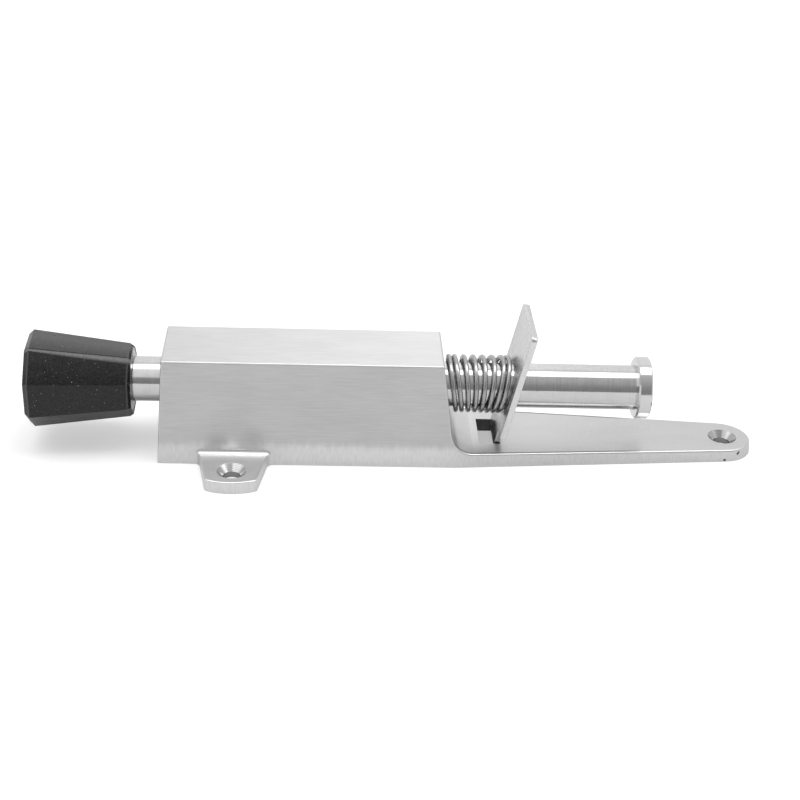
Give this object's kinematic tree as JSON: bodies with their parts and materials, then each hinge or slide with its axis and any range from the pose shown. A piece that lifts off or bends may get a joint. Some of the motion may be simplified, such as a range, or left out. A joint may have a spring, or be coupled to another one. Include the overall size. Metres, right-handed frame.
{
  "type": "foot-operated plunger door holder",
  "caption": "Foot-pressed spring plunger that holds a door open: block with mounting ears and a tongue, sliding rod with rubber foot and push head, canted locking plate.",
  "frame": {"origin": "on the mounting face, under the rod's axis, on the line through the two ear holes", "axes": "+X along the rod from the rubber foot towards the push head, +Z away from the mounting face, +Y across the block to complete a right-handed frame"},
  "size_m": [0.196, 0.0576, 0.0376],
  "materials": {
    "satin_stainless": "satin brushed stainless casting",
    "polished_steel": "fine turned and polished",
    "plate_steel": "ground stainless strip",
    "spring_steel": "bright drawn spring wire",
    "zinc_steel": "bright zinc plate",
    "black_rubber": "matt moulded rubber"
  },
  "bodies": {
    "housing": {"housing": "satin_stainless", "end_bush": "polished_steel", "plate_spring": "spring_steel", "return_spring": "spring_steel"},
    "plunger": {"plunger_rod": "polished_steel", "push_head": "polished_steel", "retaining_ring": "spring_steel", "spring_seat": "zinc_steel", "rubber_foot": "black_rubber", "foot_washer": "zinc_steel", "cup_washer": "zinc_steel", "foot_screw": "zinc_steel"},
    "plate": {"locking_plate": "plate_steel"}
  },
  "joints": [
    {"name": "rod_slide", "type": "slide", "parent": "housing", "child": "plunger", "axis": [-1, 0, 0], "range_m": [0, 0.031], "stiffness_N_per_m": 400, "springref_m": -0.03, "deforming": ["return_spring"]},
    {"name": "plate_tilt", "type": "hinge", "parent": "housing", "child": "plate", "pos_m": [0.07156, 0, 0.00367], "axis": [0, -1, 0], "range_deg": [0, 12.2], "stiffness_Nm_per_rad": 0.2, "springref_deg": -28.65, "deforming": ["plate_spring"]}
  ]
}
